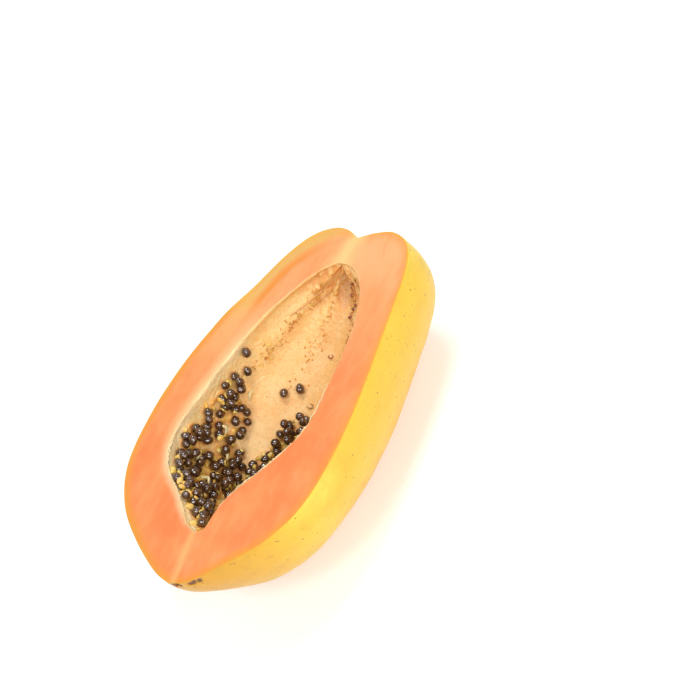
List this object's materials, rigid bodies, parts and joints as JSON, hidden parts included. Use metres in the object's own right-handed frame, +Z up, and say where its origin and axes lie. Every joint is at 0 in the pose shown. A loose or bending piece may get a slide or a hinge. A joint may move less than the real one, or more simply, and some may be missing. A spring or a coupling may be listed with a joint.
{
  "type": "papaya half",
  "caption": "Ripe papaya cut in half lengthways, lying on its skin with the cut face up, an open hollow and loose seeds on its walls.",
  "frame": {"origin": "centre of the half's box at its base, where it rests on its small flat spot", "axes": "+Y from the blossom end to the stem end, +X across the cut face, +Z up out of the cut face"},
  "size_m": [0.1452, 0.2388, 0.0835],
  "materials": {
    "ripe_fruit": "yellow skin with a satin bloom, moist salmon-orange flesh on the cut face and a pale, finely bumpy hollow",
    "seed": "wet, glossy, near-black brown"
  },
  "bodies": {
    "root": {"papaya_half": "ripe_fruit", "seed_01": "seed", "seed_02": "seed", "seed_03": "seed", "seed_04": "seed", "seed_05": "seed", "seed_06": "seed", "seed_07": "seed", "seed_08": "seed", "seed_09": "seed", "seed_10": "seed", "seed_11": "seed", "seed_12": "seed", "seed_13": "seed", "seed_14": "seed", "seed_15": "seed", "seed_16": "seed", "seed_17": "seed", "seed_18": "seed", "seed_19": "seed", "seed_20": "seed", "seed_21": "seed", "seed_22": "seed", "seed_23": "seed", "seed_24": "seed", "seed_25": "seed", "seed_26": "seed", "seed_27": "seed", "seed_28": "seed", "seed_29": "seed", "seed_30": "seed", "seed_31": "seed", "seed_32": "seed", "seed_33": "seed", "seed_34": "seed", "seed_35": "seed", "seed_36": "seed", "seed_37": "seed", "seed_38": "seed", "seed_39": "seed", "seed_40": "seed", "seed_41": "seed", "seed_42": "seed", "seed_43": "seed", "seed_44": "seed", "seed_45": "seed", "seed_46": "seed", "seed_47": "seed", "seed_48": "seed", "seed_49": "seed", "seed_50": "seed", "seed_51": "seed", "seed_52": "seed", "seed_53": "seed", "seed_54": "seed", "seed_55": "seed", "seed_56": "seed", "seed_57": "seed", "seed_58": "seed", "seed_59": "seed"}
  },
  "joints": []
}
